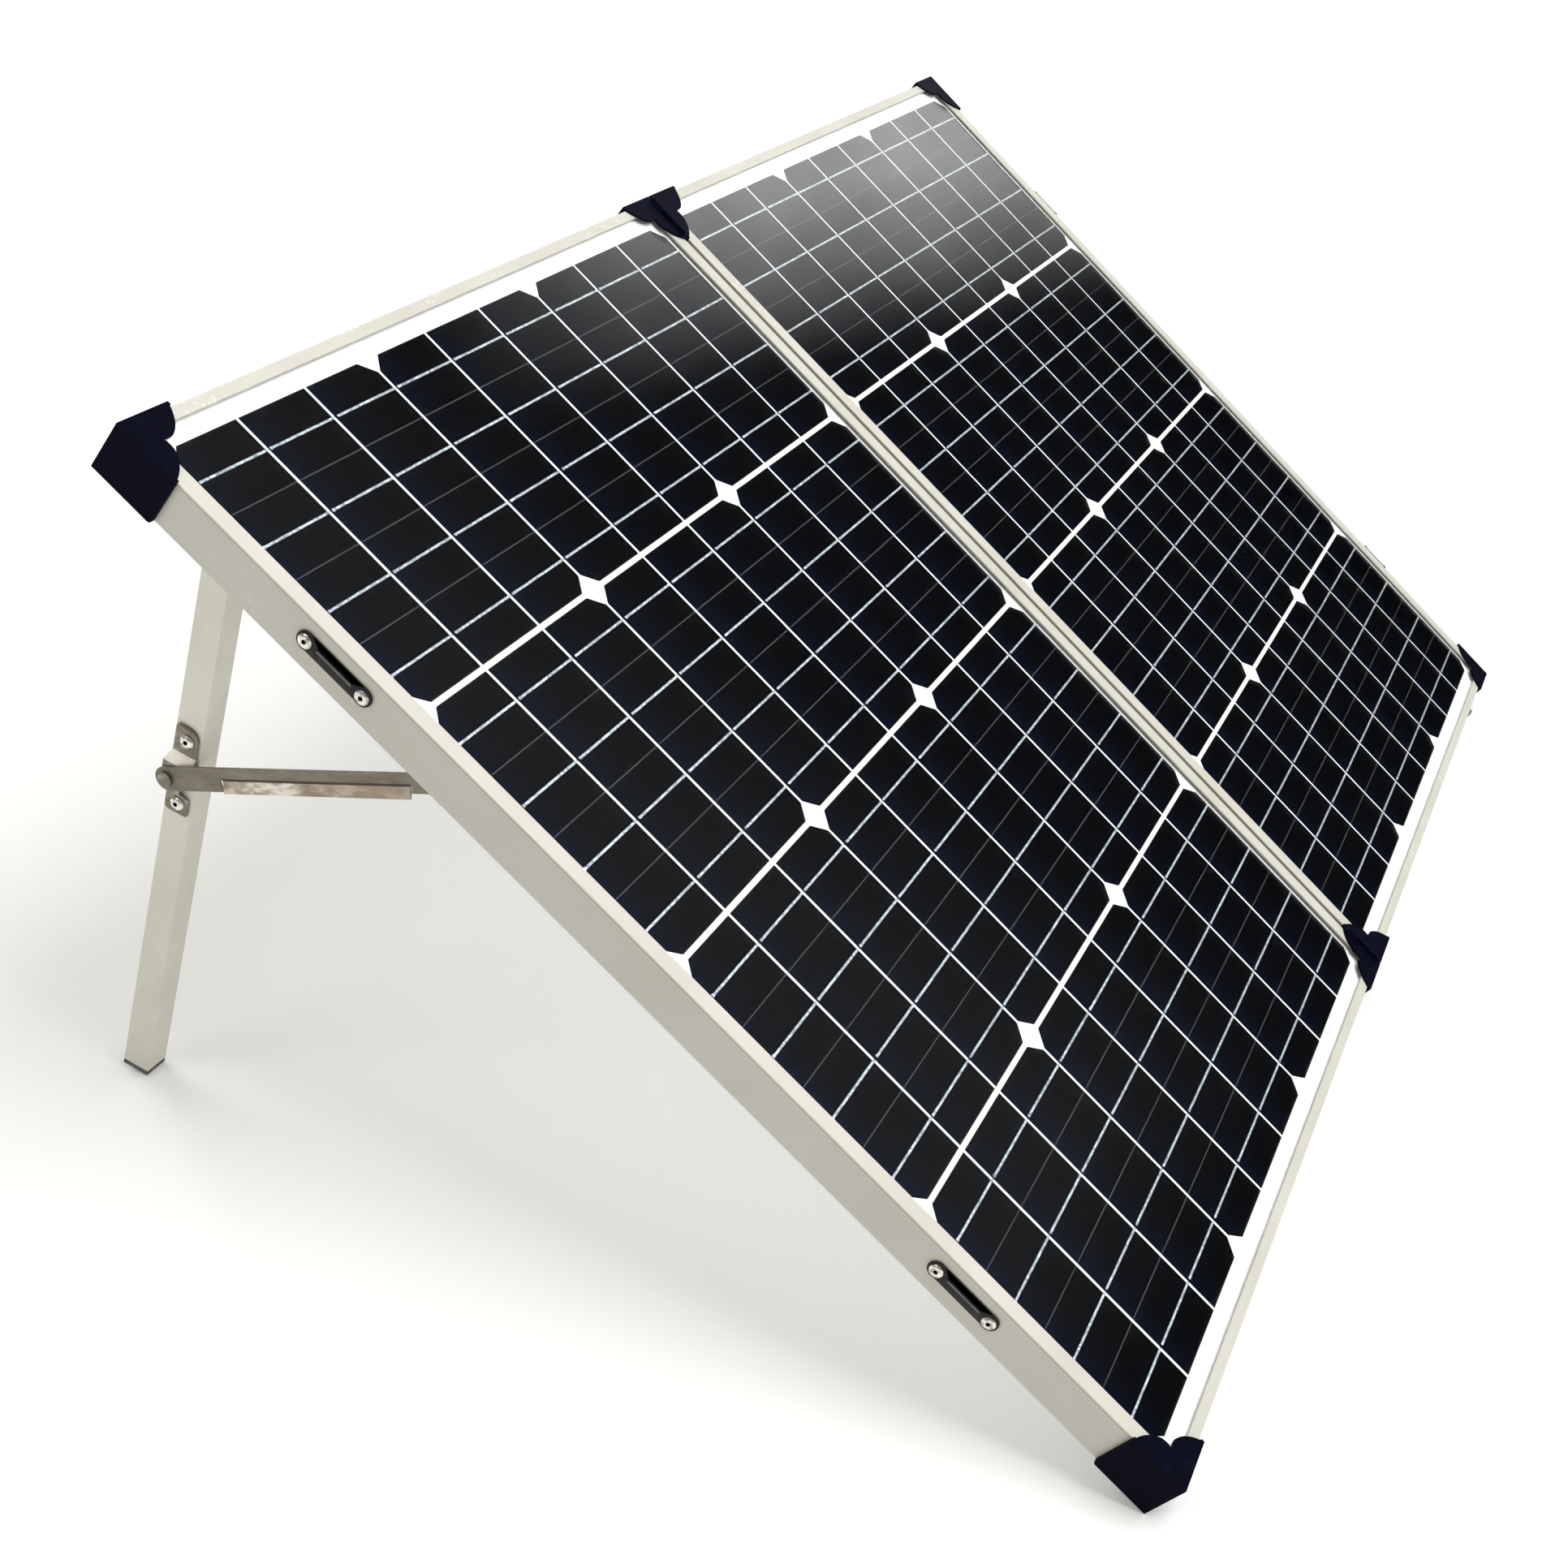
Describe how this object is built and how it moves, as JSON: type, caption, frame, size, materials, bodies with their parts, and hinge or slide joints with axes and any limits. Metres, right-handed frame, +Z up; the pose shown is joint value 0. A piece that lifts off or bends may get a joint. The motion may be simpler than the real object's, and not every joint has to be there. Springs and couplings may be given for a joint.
{
  "type": "folding solar panel",
  "caption": "Folding twin solar panel with aluminium frames, hinged corner protectors, and a folding leg with a strap brace behind each panel.",
  "frame": {"origin": "Centre of the bounding box in plan, on the floor that the panel stands on.", "axes": "+X across both panels from the near one to the far one, +Y horizontal towards the raised edge and the legs, +Z up."},
  "size_m": [1.0322, 0.5978, 0.3718],
  "materials": {
    "anodised_frame": "satin anodised",
    "glass": "clear, lightly textured",
    "solar_cells": "dark blue-black cells in clear encapsulant",
    "backsheet": "white sheet",
    "black_plastic": "moulded, satin",
    "stainless": "brushed stainless",
    "rubber": "matte",
    "grey_rubber": "matte"
  },
  "bodies": {
    "near_panel": {"near_outer_rail": "anodised_frame", "near_inner_rail": "anodised_frame", "near_top_rail": "anodised_frame", "near_bottom_rail": "anodised_frame", "near_glass": "glass", "near_cell_layer": "solar_cells", "near_backsheet": "backsheet", "near_bottom_inner_corner": "black_plastic", "near_top_inner_corner": "black_plastic", "near_bottom_outer_corner": "black_plastic", "near_top_outer_corner": "black_plastic", "near_leg_pivot_block": "black_plastic", "near_leg_pivot_bolt": "stainless", "near_brace_track": "anodised_frame", "near_junction_box": "black_plastic", "near_junction_box_lid": "black_plastic", "near_cable_gland": "black_plastic", "bottom_hinge_pin": "stainless", "top_hinge_pin": "stainless", "upper_latch_keeper": "black_plastic", "lower_latch_keeper": "black_plastic"},
    "far_panel": {"far_outer_rail": "anodised_frame", "far_inner_rail": "anodised_frame", "far_top_rail": "anodised_frame", "far_bottom_rail": "anodised_frame", "far_glass": "glass", "far_cell_layer": "solar_cells", "far_backsheet": "backsheet", "far_bottom_inner_corner": "black_plastic", "far_top_inner_corner": "black_plastic", "far_bottom_outer_corner": "black_plastic", "far_top_outer_corner": "black_plastic", "far_leg_pivot_block": "black_plastic", "far_leg_pivot_bolt": "stainless", "far_brace_track": "anodised_frame", "far_junction_box": "black_plastic", "far_junction_box_lid": "black_plastic", "far_cable_gland": "black_plastic", "upper_latch_base": "stainless", "lower_latch_base": "stainless", "upper_handle_mount": "black_plastic", "lower_handle_mount": "black_plastic", "bottom_bumper": "grey_rubber"},
    "near_leg": {"near_leg_tube": "anodised_frame", "near_leg_foot_plug": "grey_rubber", "near_leg_bracket": "stainless", "near_brace_rivet": "stainless"},
    "near_brace": {"near_brace_strap": "stainless"},
    "far_leg": {"far_leg_tube": "anodised_frame", "far_leg_foot_plug": "grey_rubber", "far_leg_bracket": "stainless", "far_brace_rivet": "stainless"},
    "far_brace": {"far_brace_strap": "stainless"},
    "upper_lever": {"upper_latch_lever": "stainless"},
    "lower_lever": {"lower_latch_lever": "stainless"},
    "handle": {"carry_handle_bail": "stainless", "carry_handle_grip": "rubber"}
  },
  "joints": [
    {"name": "panel_fold", "type": "hinge", "parent": "near_panel", "child": "far_panel", "pos_m": [-0.0044, -0.01119, 0.19807], "axis": [0, -0.856, -0.5169], "range_deg": [0, 180]},
    {"name": "near_leg_fold", "type": "hinge", "parent": "near_panel", "child": "near_leg", "pos_m": [-0.5014, 0.23393, 0.32705], "axis": [-1, 0, 0], "range_deg": [0, 68.9]},
    {"name": "near_brace_fold", "type": "hinge", "parent": "near_leg", "child": "near_brace", "pos_m": [-0.5014, 0.26332, 0.19414], "axis": [-1, 0, 0], "range_deg": [-118.8, 0]},
    {"name": "far_leg_fold", "type": "hinge", "parent": "far_panel", "child": "far_leg", "pos_m": [0.4926, 0.23393, 0.32705], "axis": [-1, 0, 0], "range_deg": [0, 68.9]},
    {"name": "far_brace_fold", "type": "hinge", "parent": "far_leg", "child": "far_brace", "pos_m": [0.4926, 0.26332, 0.19414], "axis": [-1, 0, 0], "range_deg": [-118.8, 0]},
    {"name": "upper_latch_turn", "type": "hinge", "parent": "far_panel", "child": "upper_lever", "pos_m": [0.5092, 0.16207, 0.29709], "axis": [0, -0.856, -0.5169], "range_deg": [0, 180]},
    {"name": "lower_latch_turn", "type": "hinge", "parent": "far_panel", "child": "lower_lever", "pos_m": [0.5092, -0.17948, 0.09083], "axis": [0, -0.856, -0.5169], "range_deg": [0, 180]},
    {"name": "handle_swing", "type": "hinge", "parent": "far_panel", "child": "handle", "pos_m": [0.5106, -0.0038, 0.18583], "axis": [0, -0.856, -0.5169], "range_deg": [0, 100]}
  ],
  "couplings": [
    {"joint": "near_brace_fold", "follows": "near_leg_fold", "ratio": -1.7242},
    {"joint": "far_brace_fold", "follows": "far_leg_fold", "ratio": -1.7242}
  ]
}
